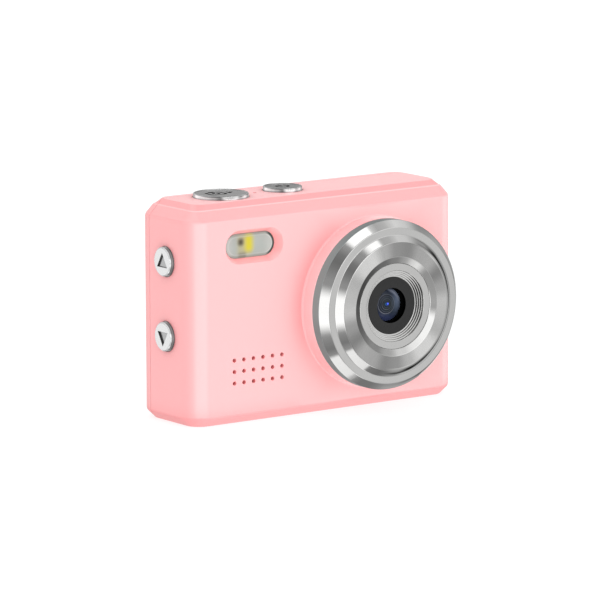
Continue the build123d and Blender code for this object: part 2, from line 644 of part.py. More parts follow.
# ---------------------------------------------------------------- all parts and export
parts = {
    "front_shell": front_shell(),
    "rear_shell": rear_shell(),
    "bezel_ring": bezel_ring(),
    "threaded_ring": threaded_ring(),
    "trim_ring": trim_ring(),
    "lens_barrel": lens_barrel(),
    "front_element": lens_element(dome(4.38, 4.9, 0.35), dome(4.38, 6.25, 0.95, steps=14)),
    "middle_element": lens_element(dome(3.4, 0.25, 0.45), dome(3.4, 1.5, 0.7)),
    "rear_element": lens_element(dome(3.4, -3.6, -0.7), dome(3.4, -2.45, 0.02)),
    "lens_holder": lens_holder(),
    "infrared_filter": block(LENS_X, LENS_Z, 4.2, 4.2, -7.9, -7.6),
    "image_sensor": image_sensor(),
    "sensor_board": sensor_board(),
    "flash_window": flash_window(),
    "flash_reflector": flash_reflector(),
    "flash_board": flash_plate(FLASH_FLANGE, 4.6, 5.4),
    "flash_led": flash_led(),
    "focus_lamp": focus_lamp(),
    "speaker_mesh": rod_y(SPEAKER_X, SPEAKER_Z, 9.9, FRONT_IN_Y, FRONT_IN_Y + 0.2),
    "speaker": speaker(),
    "microphone": microphone(),
    "shutter_button": shutter_button(),
    "power_button": power_button(),
    "shutter_plunger": top_plunger(SHUTTER_X),
    "power_plunger": top_plunger(POWER_X),
    "top_switches": [top_switch(SHUTTER_X), top_switch(POWER_X)],
    "top_key_board": top_key_board(),
    "side_switches": [side_switch(z) for z in SIDE_KEY_Z.values()],
    "side_key_board": box(-36.6, -35.6, -5.5, 3.0, 18.0, 47.0),
    "rear_switches": [rear_switch(z) for z in REAR_KEY_Z.values()],
    "main_board": main_board(),
    "image_processor": image_processor(),
    "battery": battery(),
    "battery_tape": box(-4.0, 18.0, 4.0, BOARD_Y0, 16.0, 36.0),
    "display_module": display_module(),
    "display_gasket": display_gasket(),
    "display_window": display_window(),
    "sensor_flex": ribbon([(23.0, -5.05), (26.4, -5.05), (26.4, 4.85), (29.6, 4.85)], 30.0, 38.0),
    "display_flex": ribbon([(-22.9, 8.6), (-24.6, 8.6), (-24.6, 6.5), (-17.5, 6.5)], 13.0, 27.0),
    "usb_socket": usb_socket(),
    "usb_tongue": box(35.5, 41.2, USB_Y - 0.35, USB_Y + 0.35, USB_Z - 3.35, USB_Z + 3.35),
    "card_socket": card_socket(),
    "memory_card": memory_card(),
    "tripod_bush": tripod_bush(),
    "strap_pin": rod_z(STRAP_X, STRAP_Y, 0.8, 45.8, 52.2),
    "case_screws": screws(CASE_SCREWS, CASE_SEAT_Y, CASE_SCREW),
    "board_screws": (screws(BOARD_POSTS, BOARD_Y1, BOARD_SCREW)
                     + screws(SENSOR_POSTS, SENSOR_BOARD_Y1, BOARD_SCREW)),
    "bezel_screws": screws(BEZEL_SCREWS, BEZEL_SEAT_Y, BEZEL_SCREW),
}
for name, z in SIDE_KEY_Z.items():
    parts[name + "_button"] = side_key(name, z)
    parts[name + "_plunger"] = rod_x(SIDE_KEY_Y, z, 1.0, -39.0, -37.7)
for name, z in REAR_KEY_Z.items():
    parts[name + "_button"] = rear_key(name, z)
    parts[name + "_plunger"] = rod_y(REAR_KEY_X, z, 1.0, 7.6, REAR_STEM_Y)

os.makedirs("parts", exist_ok=True)
for name, shape in parts.items():
    items = shape if isinstance(shape, list) else [shape]
    solids = [solid for item in items for solid in item.solids()]
    out = solids[0] if len(solids) == 1 else Compound(children=solids)
    out.label = name
    export_step(out, os.path.join("parts", name + ".step"))
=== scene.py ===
"""Looks and studio for a small pink compact camera.

The camera stands on z = 0 with its lens towards -Y, +X to the right seen from the front
and its shutter key on top. Coordinates are metres; names with _mm hold millimetres.
"""
import bpy
import bmesh
import json
import math
from mathutils import Matrix, Vector

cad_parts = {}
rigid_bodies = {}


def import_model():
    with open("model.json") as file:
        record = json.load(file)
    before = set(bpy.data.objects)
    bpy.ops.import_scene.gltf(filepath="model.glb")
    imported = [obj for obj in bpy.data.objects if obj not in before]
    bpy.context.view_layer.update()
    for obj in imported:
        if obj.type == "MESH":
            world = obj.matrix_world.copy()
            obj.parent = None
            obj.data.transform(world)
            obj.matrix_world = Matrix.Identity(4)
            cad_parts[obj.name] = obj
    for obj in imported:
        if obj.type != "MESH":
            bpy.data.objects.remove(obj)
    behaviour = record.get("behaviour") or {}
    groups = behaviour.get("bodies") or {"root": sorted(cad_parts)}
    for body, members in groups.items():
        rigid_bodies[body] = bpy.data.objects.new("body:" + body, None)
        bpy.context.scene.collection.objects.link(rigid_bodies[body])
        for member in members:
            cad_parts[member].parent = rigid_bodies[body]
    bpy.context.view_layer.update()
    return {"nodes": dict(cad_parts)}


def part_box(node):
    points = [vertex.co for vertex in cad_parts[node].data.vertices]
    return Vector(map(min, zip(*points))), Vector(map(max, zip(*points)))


for old in list(bpy.data.objects):
    bpy.data.objects.remove(old)

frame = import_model()
NODES = frame["nodes"]
scene = bpy.context.scene
MM = 0.001          # one millimetre in metres
TO_MM = 1000.0      # metres to millimetres


def centre(name):
    low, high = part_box(name)
    return (low.x + high.x) / 2, (low.y + high.y) / 2, (low.z + high.z) / 2


LENS_X, _, LENS_Z = centre("bezel_ring")                 # lens axis, parallel to Y


# ---------------------------------------------------------------- shader graphs
def feed(node, inputs):
    """Link signals to inputs, or set them to plain values; keys are input names or indices."""
    for key, value in inputs.items():
        socket = node.inputs[key]
        if isinstance(value, Signal):
            node.id_data.links.new(value.socket, socket)
        else:
            if socket.type == "RGBA":
                value = (*value, 1.0)
            socket.default_value = value


def add_node(tree, kind, inputs=None, **settings):
    node = tree.nodes.new(kind)
    for name, value in settings.items():
        setattr(node, name, value)
    feed(node, inputs or {})
    return node


class Signal:
    """A node output; arithmetic and methods on it add nodes to its graph."""

    def __init__(self, socket):
        self.socket = socket

    def make(self, kind, inputs, output=0, **settings):
        return Signal(add_node(self.socket.id_data, kind, inputs, **settings).outputs[output])

    def __add__(self, other):
        return calc("ADD", self, other)

    def __radd__(self, other):
        return calc("ADD", other, self)

    def __sub__(self, other):
        return calc("SUBTRACT", self, other)

    def __rsub__(self, other):
        return calc("SUBTRACT", other, self)

    def __mul__(self, other):
        return calc("MULTIPLY", self, other)

    def __truediv__(self, other):
        return calc("DIVIDE", self, other)

    def __pow__(self, other):
        return calc("POWER", self, other)

    def __abs__(self):
        return calc("ABSOLUTE", self)

    def step(self, off, on):
        """0 at off, 1 at on, smooth between; off may be above on."""
        ends = (off, on, 0.0, 1.0) if off < on else (on, off, 1.0, 0.0)
        return self.make("ShaderNodeMapRange", dict(enumerate((self, *ends))),
                         interpolation_type="SMOOTHSTEP")

    def band(self, start, end, soft):
        """1 between start and end, with soft flanks."""
        return self.step(start - soft, start + soft) * self.step(end + soft, end - soft)

    def mix(self, off, on):
        """Colour from off to on as this signal goes from 0 to 1."""
        return self.make("ShaderNodeMix", {0: self, 6: off, 7: on}, 2, data_type="RGBA")

    def lerp(self, off, on):
        """Number from off to on as this signal goes from 0 to 1."""
        return self.make("ShaderNodeMix", {0: self, 2: off, 3: on}, data_type="FLOAT")

    def toward(self, color, amount):
        """This colour moved towards another one."""
        return amount.mix(self, color)

    def times(self, factor, where):
        """This number times a factor, inside a mask only."""
        return self * where.lerp(1.0, factor)

    def tint(self, color):
        """A colour scaled by this number."""
        return self.make("ShaderNodeVectorMath", {0: color, 3: self}, operation="SCALE")

    def dot(self, axis):
        return self.make("ShaderNodeVectorMath", {0: self, 1: axis}, 1, operation="DOT_PRODUCT")

    def xyz(self):
        node = add_node(self.socket.id_data, "ShaderNodeSeparateXYZ", {0: self})
        return [Signal(output) for output in node.outputs]

    def noise(self, scale, detail=2.0, rough=0.5):
        return self.make("ShaderNodeTexNoise", {"Vector": self, "Scale": scale,
                                                "Detail": detail, "Roughness": rough})

    def bump(self, strength, distance, normal=None):
        inputs = {"Strength": strength, "Distance": distance, "Height": self}
        if normal is not None:
            inputs["Normal"] = normal
        return self.make("ShaderNodeBump", inputs)

    def stops(self, pairs, interpolation="LINEAR"):
        """Grey ramp through (position 0..1, value) pairs."""
        node = add_node(self.socket.id_data, "ShaderNodeValToRGB", {0: self})
        ramp = node.color_ramp
        ramp.interpolation = interpolation
        pairs = sorted(pairs)
        ramp.elements[0].position = pairs[0][0]
        ramp.elements[1].position = pairs[-1][0]
        for place, _ in pairs[1:-1]:
            ramp.elements.new(place)
        for i, (_, value) in enumerate(pairs):
            ramp.elements[i].color = (value, value, value, 1.0)
        return Signal(node.outputs[0])

    def around(self, values):
        """Eased grey ramp through evenly spaced values, closed on the first one."""
        count = len(values)
        pairs = [(i / count, value) for i, value in enumerate([*values, values[0]])]
        return self.stops(pairs, "EASE")


def calc(operation, *values):
    """Math node over numbers and at least one signal."""
    signal = next(v for v in values if isinstance(v, Signal))
    return signal.make("ShaderNodeMath", dict(enumerate(values)), operation=operation)


def hypot(side_a, side_b):
    return calc("SQRT", side_a * side_a + side_b * side_b)


class Graph:
    """One shader tree and the signals that start in it."""

    def __init__(self, tree):
        self.tree = tree
        tree.nodes.clear()

    def node(self, kind, inputs=None, **settings):
        return add_node(self.tree, kind, inputs, **settings)

    def source(self, kind, output=0, inputs=None, **settings):
        return Signal(self.node(kind, inputs, **settings).outputs[output])

    def position(self):
        return self.source("ShaderNodeTexCoord", "Object")

    def geometry(self, output):
        return self.source("ShaderNodeNewGeometry", output)

    def vector(self, **parts):
        return self.source("ShaderNodeCombineXYZ", inputs=parts)

    def rays(self, *kinds):
        outputs = self.node("ShaderNodeLightPath").outputs
        return [Signal(outputs["Is %s Ray" % kind]) for kind in kinds]

    def rounded_normal(self, radius_mm, samples=6):
        return self.source("ShaderNodeBevel", inputs={"Radius": radius_mm * MM}, samples=samples)


class Material(Graph):
    """A material with one Principled shader."""

    def __init__(self, name, color, rough=0.5, metallic=0.0):
        self.block = bpy.data.materials.new(name)
        self.block.use_nodes = True
        self.block.diffuse_color = (*color, 1.0)
        super().__init__(self.block.node_tree)
        self.output = self.node("ShaderNodeOutputMaterial")
        self.principled = self.node("ShaderNodeBsdfPrincipled", {
            "Base Color": color, "Roughness": rough, "Metallic": metallic})
        feed(self.output, {0: Signal(self.principled.outputs[0])})

    def set(self, inputs):
        feed(self.principled, inputs)

    def blend_shader(self, amount, other):
        """Show another shader instead of the Principled one, by amount."""
        feed(self.output, {0: self.source("ShaderNodeMixShader", inputs={
            0: amount, 1: Signal(self.principled.outputs[0]), 2: other})})


def dress(mat, *names):
    """Put a material in every slot of the named parts."""
    for name in names:
        part = NODES[name] if name in NODES else bpy.data.objects[name]
        slots = part.data.materials
        if len(slots) == 0:
            slots.append(mat.block)
        for i in range(len(slots)):
            slots[i] = mat.block


# ---------------------------------------------------------------- turns and tables
# A turn runs 0..1 round a circle; tables give tones by turn.
def clock_turn(angle):
    """0 at 9 o'clock, clockwise seen from the front."""
    return calc("FRACT", (math.pi - angle) / math.tau + 1.0)


def side_key_turn(forward, upward):
    """0.5 at the forward-most point, more above it."""
    return calc("ARCTAN2", upward, forward) / math.tau + 0.5


TOP_TURN_START = math.radians(144.5)                     # left rear of a top key


def top_key_turn(x, y):
    """0 at TOP_TURN_START, anticlockwise seen from above, so left, front, right."""
    angle = calc("ARCTAN2", y, x)
    return calc("FRACT", (angle - TOP_TURN_START) / math.tau + 2.0)


def by_hours(table):
    """(hour, value) to (clock turn, value), hours 9 to 21."""
    return [((hour - 9.0) / 12.0, value) for hour, value in table]


def by_degrees(table):
    """(degrees above the forward-most point, value) to (side key turn, value)."""
    return [(degrees / 360 + 0.5, value) for degrees, value in table]


def front_offsets_mm(position, name):
    """Offsets right and up from a part's centre, mm."""
    mid_x, _, mid_z = centre(name)
    x, _, z = position.xyz()
    return (x - mid_x) * TO_MM, (z - mid_z) * TO_MM


# ---------------------------------------------------------------- pink shell
PINK = (0.955, 0.468, 0.474)
# shaded and lit copies of the pink for painted shade and painted light, and a darker one for
# painted shade in creases
PAINTED_SHADE_PINK = (0.930, 0.300, 0.308)
PAINTED_LIGHT_PINK = (0.975, 0.560, 0.566)
PAINTED_CREASE_SHADE = (0.900, 0.300, 0.308)
KEY_GAP = (0.075, 0.052, 0.052)                          # shade in the clearance of a key

SIDE_KEYS = ("up_button", "down_button")
# name, radius, radius that holds the engraving (mm), range of the brushed face's tone
TOP_KEYS = (
    ("shutter_button", 7.22, 5.0, 0.42, 1.38),
    ("power_button", 5.13, 3.0, 0.24, 1.10),
)

# amount of painted light on the round wall of the boss, (hour, amount)
WALL_PAINTED_LIGHT = by_hours([
    (9.0, 1.0), (10.0, 0.9), (10.5, 0.35), (11.0, 0.0), (11.5, 0.0), (12.0, 0.4), (12.5, 1.0),
    (18.5, 1.0), (19.0, 0.2), (19.5, 0.0), (20.0, 0.2), (20.5, 0.75), (21.0, 1.0)])
# amount of painted shade there
WALL_PAINTED_SHADE = by_hours([
    (9.0, 0.0), (10.0, 0.0), (10.5, 0.05), (11.0, 0.28), (11.5, 0.55), (12.0, 0.10),
    (12.5, 0.0), (18.5, 0.0), (19.0, 0.25), (19.5, 0.40), (20.0, 0.18), (20.5, 0.0), (21.0, 0.0)])
# shade round a side key, (degrees, amount)
SIDE_GAP = by_degrees([
    (-180, 0.15), (-115, 0.2), (-100, 0.6), (-80, 0.9), (-55, 0.9), (-35, 0.4), (-10, 0.1),
    (30, 0.1), (60, 0.5), (80, 0.85), (100, 0.85), (115, 0.3), (180, 0.15)])
# shade round a top key, (top key turn, amount)
TOP_GAP = [
    (0.0, 0.75), (0.09, 0.75), (0.14, 0.1), (0.42, 0.1), (0.46, 0.65), (0.54, 0.75),
    (0.60, 0.3), (0.92, 0.3), (1.0, 0.75)]
WALL_HEIGHTS = dict(start=0.0026, end=0.0530, soft=0.0003)    # upright part near the boss


def shell_bands(base, normal, x, z):
    """Painted light and shade on the bevels, ledge, top, left wall and upright corners."""
    lower_bevel = z.band(start=0.05340, end=0.05590, soft=0.00012)
    upper_bevel = z.band(start=0.05614, end=0.05742, soft=0.00006)
    ledge = z.band(start=0.05590, end=0.05612, soft=0.00005)
    base_bevel = z.step(off=0.0024, on=0.0019)
    # painted shade on the top bevels and painted light on the bottom bevel are weaker on the end
    # walls, which stay lighter
    ends = abs(normal.dot((1, 0, 0))).step(off=0.25, on=0.65)
    # painted shade on the lower and upper top bevels
    base = base.toward(PAINTED_SHADE_PINK, lower_bevel * ends.lerp(0.46, 0.46 * 0.3))
    base = base.toward(PAINTED_SHADE_PINK, upper_bevel * ends.lerp(0.76, 0.76 * 0.35))
    # painted light on faces turned up, on the ledge and on the bottom bevel
    base = base.toward(PAINTED_LIGHT_PINK, normal.dot((0, 0, 1)).step(off=0.9, on=0.99) * 0.90)
    base = base.toward(PAINTED_LIGHT_PINK, ledge * 0.60)
    base = base.toward(PAINTED_LIGHT_PINK, base_bevel * ends.lerp(0.70, 0.70 * 0.3))
    # painted shade on the left wall, away from the light
    left = (normal.dot((1, 0, 0)) * -1.0).step(off=0.66, on=0.90)
    left = left * x.step(off=-0.036, on=-0.040)
    base = base.toward(PAINTED_SHADE_PINK, left * 0.22)
    # painted highlight down the rounded upright corners
    sideways = abs(normal.dot((1, 0, 0)))
    corner = sideways.step(off=0.10, on=0.34) * sideways.step(off=0.78, on=0.60)
    upright = z.band(start=0.0026, end=0.0531, soft=0.0003)
    return base.toward(PAINTED_LIGHT_PINK, corner * upright * 0.70)


def shell_boss(mat, base, x, y, z):
    """Painted light and shade round the lens boss, and painted shade in all creases."""
    # painted shade in every crease, driven by ambient occlusion
    open_sky = mat.source("ShaderNodeAmbientOcclusion", "AO", {"Distance": 0.0075}, samples=8)
    crease = open_sky.step(off=0.98, on=0.45) * 0.78
    # painted crease shade: the light comes from the upper right, so the painted shade in the
    # crease round the boss is deepest on its left
    off_x = x - LENS_X
    off_z = z - LENS_Z
    radius = hypot(off_x, off_z)
    lean = (off_x * -0.95 + off_z * 0.31) / calc("MAXIMUM", radius, 0.001)
    near = radius.step(off=0.036, on=0.031) * z.band(**WALL_HEIGHTS)
    flank = near * y.step(off=-0.01276, on=-0.01310)
    crease = crease.times(lean.step(off=0.55, on=0.97).lerp(0.10, 1.0), where=near)
    crease = crease.times(0.10, where=flank)
    # painted light and painted shade on the round wall of the boss, by clock
    clock = clock_turn(calc("ARCTAN2", off_z, off_x))
    painted_wall_light = near * y.step(off=-0.01277, on=-0.01315) * clock.stops(WALL_PAINTED_LIGHT)
    base = base.toward(PAINTED_LIGHT_PINK, painted_wall_light)
    painted_wall_shade = near * y.step(off=-0.01276, on=-0.01290) * clock.stops(WALL_PAINTED_SHADE)
    base = base.toward(PAINTED_SHADE_PINK, painted_wall_shade)
    # painted light keeps the front face light above and below the boss
    up_down = (abs(off_z) / calc("MAXIMUM", radius, 0.001)).step(off=0.80, on=0.98)
    front_face = near * up_down * y.step(off=-0.0131, on=-0.0129)
    base = base.toward(PAINTED_LIGHT_PINK, front_face * 0.62)
    return base.toward(PAINTED_CREASE_SHADE, crease)


def key_gaps(x, y, z):
    """Mask of the shade line in the clearance round each side and top key."""
    gaps = []
    for name in SIDE_KEYS:
        _, mid_y, mid_z = centre(name)
        forward = mid_y - y
        upward = z - mid_z
        gap = hypot(forward, upward).step(off=0.00415, on=0.00395)
        gap = gap * x.step(off=-0.0418, on=-0.0422)
        gaps.append(gap * side_key_turn(forward, upward).stops(SIDE_GAP))
    for name, radius_mm, *_ in TOP_KEYS:
        off_x = x - centre(name)[0]
        edge = radius_mm * MM
        gap = hypot(off_x, y).step(off=edge + 0.00030, on=edge + 0.00012)
        gap = gap * z.step(off=0.0570, on=0.0573)
        gaps.append(gap * top_key_turn(off_x, y).stops(TOP_GAP))
    shade = gaps[0]
    for gap in gaps[1:]:
        shade = calc("MAXIMUM", shade, gap)
    return shade


def pink_plastic():
    """Moulded pink shell: fine spark-eroded grain and a soft sheen, with painted light and shade
    on its bevels, corners, creases and round the boss.
    """
    mat = Material("pink_shell", PINK, rough=0.42)
    position = mat.position()
    x, y, z = position.xyz()
    red, green, blue = PINK
    cloud = position.noise(60.0, detail=3.0)             # slow drift of the moulding colour
    base = cloud.mix((red, green * 0.99, blue * 0.99), (red * 1.005, green * 1.012, blue * 1.012))
    base = shell_bands(base, mat.geometry("Normal"), x, z)
    base = shell_boss(mat, base, x, y, z)
    base = base.toward(KEY_GAP, key_gaps(x, y, z))

    grain = position.noise(9000.0, rough=0.6)            # about 0.1 mm
    fine = position.noise(2600.0)
    smear = position.noise(180.0, detail=4.0, rough=0.6)
    # the narrow band between the shells keeps its sharp edges
    joint = y.band(start=0.00640, end=0.00690, soft=0.00004)
    normal = joint.mix(mat.rounded_normal(0.12), mat.geometry("Normal"))
    normal = fine.bump(strength=0.10, distance=0.00003, normal=normal)
    mat.set({
        "Base Color": base,
        "Roughness": smear.lerp(0.36, 0.45) + (grain - 0.5) * 0.08,
        "Normal": grain.bump(strength=0.18, distance=0.00002, normal=normal),
        "IOR": 1.46,
        "Subsurface Weight": 0.06,
        "Subsurface Radius": (1.0, 0.35, 0.3),
        "Subsurface Scale": 0.0005,
    })
    # painted reflection: seen in the chrome, the shell is swapped for a glowing light grey-pink
    [glossy] = mat.rays("Glossy")
    painted_reflection_glow = mat.source("ShaderNodeEmission", inputs={"Color": (1.00, 0.96, 0.96),
                                                         "Strength": 1.15})
    mat.blend_shader(glossy * 0.85, painted_reflection_glow)
    return mat


# ---------------------------------------------------------------- lens bezel
# Painted light and shade round the lens axis, as tone factors: 24 values, 9 o'clock first, every
# half hour clockwise.
# painted sheen of the broad spun face, a two-fold fan
FAN = [
    1.12, 1.0, 0.895, 1.26, 1.30, 0.84, 0.57, 0.51, 0.77, 0.82, 0.47, 0.73,
    1.06, 1.0, 0.90, 1.30, 1.28, 0.90, 0.58, 0.50, 0.75, 0.80, 0.46, 0.66]
# painted light and shade of the inner step at its outer edge, middle and inner edge
STEP_OUT = [
    1.0, 1.0, 1.0, 1.0, 1.0, 1.0, 0.90, 0.95, 0.95, 0.80, 1.85, 1.80,
    1.95, 1.90, 1.80, 2.30, 2.70, 1.50, 1.10, 0.8, 1.0, 1.0, 1.0, 1.0]
STEP_MID = [
    1.0, 1.0, 1.0, 1.0, 1.0, 1.0, 0.90, 0.95, 1.00, 0.36, 1.25, 1.80,
    1.55, 1.90, 1.70, 2.00, 1.50, 0.42, 0.36, 0.8, 1.0, 1.0, 1.0, 1.0]
STEP_IN = [
    1.0, 1.0, 1.0, 1.0, 1.0, 1.0, 0.90, 0.95, 0.85, 0.36, 0.10, 0.28,
    0.40, 0.60, 0.65, 0.18, 0.03, 0.25, 1.05, 0.8, 1.0, 1.0, 1.0, 1.0]
# painted light and shade of the outer slope at its outer and inner edge
OUTER_OUT = [
    1.0, 1.0, 1.0, 1.0, 1.0, 1.0, 1.0, 1.0, 0.90, 1.00, 1.05, 0.80,
    0.78, 1.32, 0.72, 1.02, 0.88, 1.40, 1.36, 1.0, 1.0, 1.0, 1.0, 1.0]
OUTER_IN = [
    1.0, 1.0, 1.0, 1.0, 1.0, 1.0, 1.0, 1.0, 1.00, 1.25, 0.90, 0.66,
    1.02, 1.65, 0.60, 0.44, 0.46, 0.76, 1.08, 1.0, 1.0, 1.0, 1.0, 1.0]
# painted highlight, a glow of the inner step at its crest and half way in
CREST = [
    0.0, 0.0, 0.0, 0.0, 0.0, 0.0, 0.0, 0.0, 0.0, 0.13, 0.22, 0.19,
    0.22, 0.26, 0.23, 0.29, 0.34, 0.29, 0.05, 0.0, 0.0, 0.0, 0.0, 0.0]
CREST_IN = [
    0.0, 0.0, 0.0, 0.0, 0.0, 0.0, 0.0, 0.0, 0.0, 0.0, 0.0, 0.06,
    0.13, 0.19, 0.18, 0.18, 0.03, 0.0, 0.0, 0.0, 0.0, 0.0, 0.0, 0.0]
# painted light and shade of the lip of the broad face beside the step, at its face and at its
# edge
LIP_FACE = [
    1.0, 1.0, 1.0, 1.0, 1.0, 1.0, 1.0, 1.0, 1.05, 1.45, 1.75, 1.13,
    0.76, 0.79, 0.84, 0.72, 0.78, 1.22, 1.45, 1.0, 1.0, 1.0, 1.0, 1.0]
LIP_EDGE = [
    1.0, 1.0, 1.0, 1.0, 1.0, 1.0, 1.0, 1.0, 1.10, 1.15, 1.10, 0.57,
    0.68, 0.67, 0.70, 0.33, 0.19, 0.60, 1.25, 1.0, 1.0, 1.0, 1.0, 1.0]
# painted light and shade of the inner cone
CONE = [
    1.05, 0.75, 0.77, 1.0, 1.15, 0.74, 0.83, 1.3, 0.82, 1.0, 1.12, 1.2,
    1.4, 1.1, 1.0, 1.0, 0.9, 0.85, 1.3, 1.35, 0.93, 1.13, 1.27, 1.35]
# painted light and shade of the outer flank
FLANK = [
    1.0, 1.02, 0.95, 0.93, 0.80, 0.66, 0.60, 0.75, 0.9, 0.7, 0.4, 0.35,
    0.35, 0.35, 0.35, 0.35, 0.35, 0.7, 1.0, 0.9, 0.72, 0.66, 0.74, 0.82]
# painted light and shade along the two sloped steps, slow changes of tone, (hour, factor)
SLOPE = by_hours([
    (9.0, 1.0), (9.8, 1.0), (10.1, 0.66), (10.25, 0.55), (10.45, 0.66), (10.62, 1.0),
    (11.42, 1.0), (11.58, 0.70), (11.8, 0.78), (12.1, 1.15), (12.5, 1.0), (13.3, 1.1),
    (14.5, 1.0), (18.2, 0.98), (18.6, 0.64), (18.9, 0.64), (19.08, 0.9), (19.9, 1.0),
    (20.0, 0.9), (20.12, 0.68), (20.3, 0.85), (20.5, 1.08), (21.0, 1.0)])
# painted shade on the risers of the thread, (clock turn, factor)
RISER = [
    (0.0, 0.6), (0.20, 0.5), (0.27, 0.25), (0.33, 0.06), (0.53, 0.08), (0.62, 0.40),
    (0.74, 0.60), (1.0, 0.6)]

# radial zones of the bezel: inner radius, outer radius, softness, mm
THREAD = (7.45, 9.33, 0.01)
INNER_CONE = (11.40, 13.05, 0.05)
BROAD_FACE = (13.12, 16.93, 0.03)
LIP = (16.30, 16.98, 0.06)
INNER_STEP = (16.98, 18.58, 0.03)
GLOW_STRIP = (17.10, 18.58, 0.03)
OUTER_SLOPE = (20.60, 22.36, 0.03)
# the bright edges at these radii carry a painted highlight
EDGES_MM = (20.57, 18.60, 16.96, 13.10, 11.35)           # radii of the bright edges
CREST_FADE = dict(off=18.32, on=17.80)                   # outer edge to middle of the step


def turning(mat, position, scale):
    """Turning grooves: noise by depth and distance from the lens axis; also radius, offsets."""
    x, y, z = position.xyz()
    off_x = x - LENS_X
    off_z = z - LENS_Z
    radius = hypot(off_x, off_z)
    groove = mat.vector(X=radius, Y=y).noise(scale, detail=3.0, rough=0.7)
    return groove, radius, off_x, off_z


def painted_bezel_light(radius, clock):
    """Painted light and shade, as a tone factor, on the steps, slope, cone and lip of the bezel.
    """
    step = radius.step(**CREST_FADE).lerp(clock.around(STEP_OUT), clock.around(STEP_MID))
    step = radius.step(off=17.75, on=17.20).lerp(step, clock.around(STEP_IN))
    outer = radius.step(off=22.2, on=20.8).lerp(clock.around(OUTER_OUT), clock.around(OUTER_IN))
    lip = radius.step(off=16.45, on=16.75).lerp(clock.around(LIP_FACE), clock.around(LIP_EDGE))
    painted_relief = radius.band(*INNER_STEP).lerp(1.0, step)
    painted_relief = painted_relief.times(outer, where=radius.band(*OUTER_SLOPE))
    painted_relief = painted_relief.times(clock.around(CONE), where=radius.band(*INNER_CONE))
    return painted_relief.times(lip, where=radius.band(*LIP))


def bezel_metal():
    """Spun aluminium: concentric turning marks; a painted two-fold fan of sheen on the broad
    face, painted light and shade on the steps, slopes, cone, lip, thread and flank, and painted
    highlights on the edges and the inner step.
    """
    mat = Material("turned_metal", (0.62, 0.617, 0.61), rough=0.24, metallic=1.0)
    groove, radius, off_x, off_z = turning(mat, mat.position(), scale=14000.0)
    angle = calc("ARCTAN2", off_z, off_x)
    radius = radius * TO_MM
    # very fine streaks that run round the axis, broken up along their length
    streak = mat.vector(X=radius * 0.001, Y=angle * 0.0006).noise(22000.0, rough=0.6)
    # faint spokes left by the cross-brushing of the broad face
    spoke = mat.vector(X=radius * 0.00006, Y=angle * 0.010).noise(9000.0, detail=3.0, rough=0.7)
    clock = clock_turn(angle)
    broad = radius.band(*BROAD_FACE)
    # painted sheen: the two-fold fan on the broad face
    fan = broad.lerp(1.0, clock.around(FAN))
    spokes = 1.0 + (spoke - 0.5) * broad.lerp(0.10, 0.22)
    painted_relief = painted_bezel_light(radius, clock)
    tone = fan * spokes * painted_relief
    slopes = calc("MAXIMUM", radius.band(*INNER_STEP), radius.band(*OUTER_SLOPE))
    tone = tone.times(clock.stops(SLOPE), where=slopes)
    # thread: painted shade darkens the risers, painted light brightens the lands between them
    facing = mat.geometry("True Normal").dot((0, 1, 0)) * -1.0
    thread = radius.band(*THREAD)
    tone = tone.times(clock.stops(RISER), where=thread * facing.step(off=0.95, on=0.6))
    tone = tone.times(1.18, where=thread * facing.step(off=0.6, on=0.95))
    # painted highlight along the edges of the steps
    edges = None
    for edge_mm in EDGES_MM:
        edge = radius.band(edge_mm - 0.10, edge_mm + 0.06, soft=0.03)
        edges = edge if edges is None else calc("MAXIMUM", edges, edge)
    tone = tone.times(1.18, where=edges)
    color = tone.tint(streak.mix((0.620, 0.618, 0.610), (0.670, 0.668, 0.660)))
    # painted shade: the dark parts of the steps stay dark at a glancing angle, through the
    # specular tint
    glancing = calc("MINIMUM", painted_relief * calc("MINIMUM", painted_relief * 1.3, 1.0), 1.0)
    # painted highlight: the inner step glows near its crest
    glow = radius.step(**CREST_FADE).lerp(clock.around(CREST), clock.around(CREST_IN))
    strip = radius.band(*GLOW_STRIP) * radius.step(off=17.15, on=17.60)
    # outer flank: bead-blasted grey, with painted light and shade by clock
    flank = radius.step(off=22.30, on=22.38)
    flank_color = clock.around(FLANK).tint((0.216, 0.268, 0.266))
    mat.set({
        "Base Color": color.toward(flank_color, flank),
        "Specular Tint": glancing.tint((1.0, 1.0, 1.0)),
        "Emission Color": (0.98, 1.0, 0.99),
        "Emission Strength": strip * glow,
        "Metallic": flank.lerp(1.0, 0.15),
        "Roughness": flank.lerp(streak.lerp(0.06, 0.12) + broad * 0.08, 0.5),
        "Normal": groove.bump(strength=0.10, distance=0.00001, normal=mat.rounded_normal(0.06)),
        # the tangent runs round the lens axis
        "Tangent": mat.source("ShaderNodeTangent", direction_type="RADIAL", axis="Y"),
        "Anisotropic": 0.3,
        "Anisotropic Rotation": 0.25,
    })
    return mat


def trim_black():
    """Anodised retaining ring: satin black face with turning marks; painted shade makes its mouth
    dead black.
    """
    mat = Material("trim_black", (0.0155, 0.0155, 0.0158), rough=0.6)
    groove, radius, _, _ = turning(mat, mat.position(), scale=12000.0)
    # painted shade in the mouth: dead black, without specular
    mouth = (radius * TO_MM).step(off=4.66, on=4.60)
    color = groove.mix((0.0130, 0.0130, 0.0133), (0.0180, 0.0180, 0.0183))
    mat.set({
        "Base Color": color.toward((0.0004, 0.0004, 0.0005), mouth),
        "Specular IOR Level": mouth.lerp(0.5, 0.0),
        "Roughness": groove.lerp(0.52, 0.66),
        "Normal": groove.bump(strength=0.12, distance=0.00001, normal=mat.rounded_normal(0.06)),
    })
    return mat


